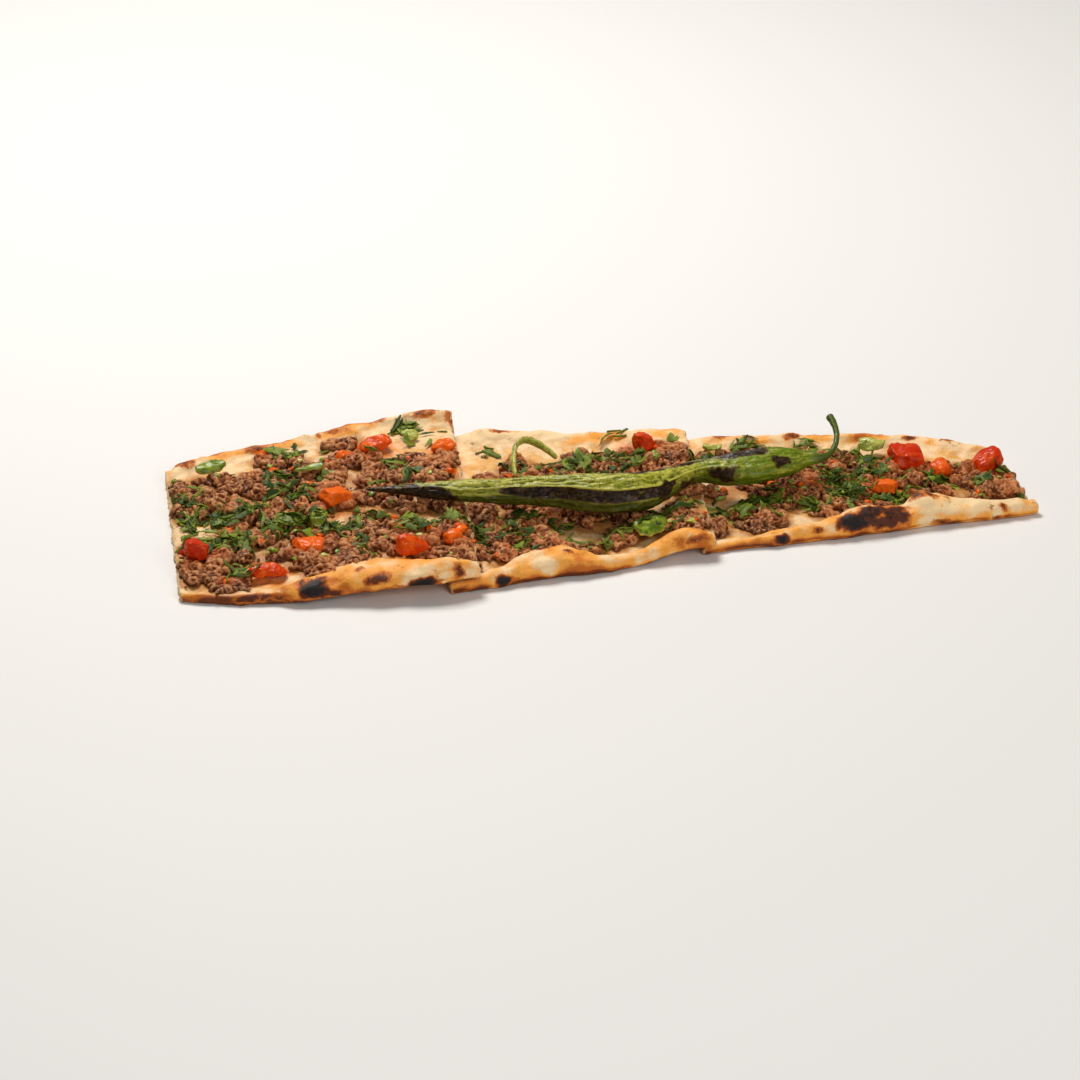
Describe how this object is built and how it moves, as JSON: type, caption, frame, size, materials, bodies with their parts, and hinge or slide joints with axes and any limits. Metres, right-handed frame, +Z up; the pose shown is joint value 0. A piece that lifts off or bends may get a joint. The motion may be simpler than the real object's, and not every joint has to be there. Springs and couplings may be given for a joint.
{
  "type": "turkish pide",
  "caption": "Long flat Turkish pide with rolled crust edges, minced meat, diced tomato, green pepper strips and a grilled green pepper on top, cut across into slices that lie in line.",
  "frame": {"origin": "centre of the whole pide's footprint, on the surface that it lies on", "axes": "+X along the pide towards its narrower end, +Y across it to the back, +Z up"},
  "size_m": [0.4506, 0.1788, 0.0343],
  "materials": {
    "dough": "baked flatbread crust, cream to toasted brown with dark char spots",
    "minced_meat": "cooked minced meat, granular, slightly oily",
    "tomato": "cooked diced tomato, wet",
    "green_pepper": "cooked green pepper strips, soft gloss",
    "grilled_pepper": "grilled green pepper, wrinkled glossy skin with black char",
    "parsley": "chopped parsley leaves and stalks"
  },
  "bodies": {
    "root": {"dough_left": "dough", "dough_middle": "dough", "dough_right": "dough", "meat_left": "minced_meat", "meat_middle": "minced_meat", "meat_right": "minced_meat", "tomato_left_end": "tomato", "tomato_front_flat": "tomato", "tomato_centre": "tomato", "tomato_sunken": "tomato", "tomato_crust_side": "tomato", "tomato_back_long": "tomato", "tomato_back_small": "tomato", "tomato_chip": "tomato", "tomato_middle_back": "tomato", "tomato_large": "tomato", "tomato_beside_large": "tomato", "tomato_right_end": "tomato", "tomato_soft": "tomato", "green_strip_back_left": "green_pepper", "green_strip_back": "green_pepper", "green_strip_front": "green_pepper", "green_ring": "green_pepper", "green_flat_front": "green_pepper", "green_strip_joint": "green_pepper", "green_chunk": "green_pepper", "green_curl": "green_pepper", "grilled_pepper": "grilled_pepper"}
  },
  "joints": []
}
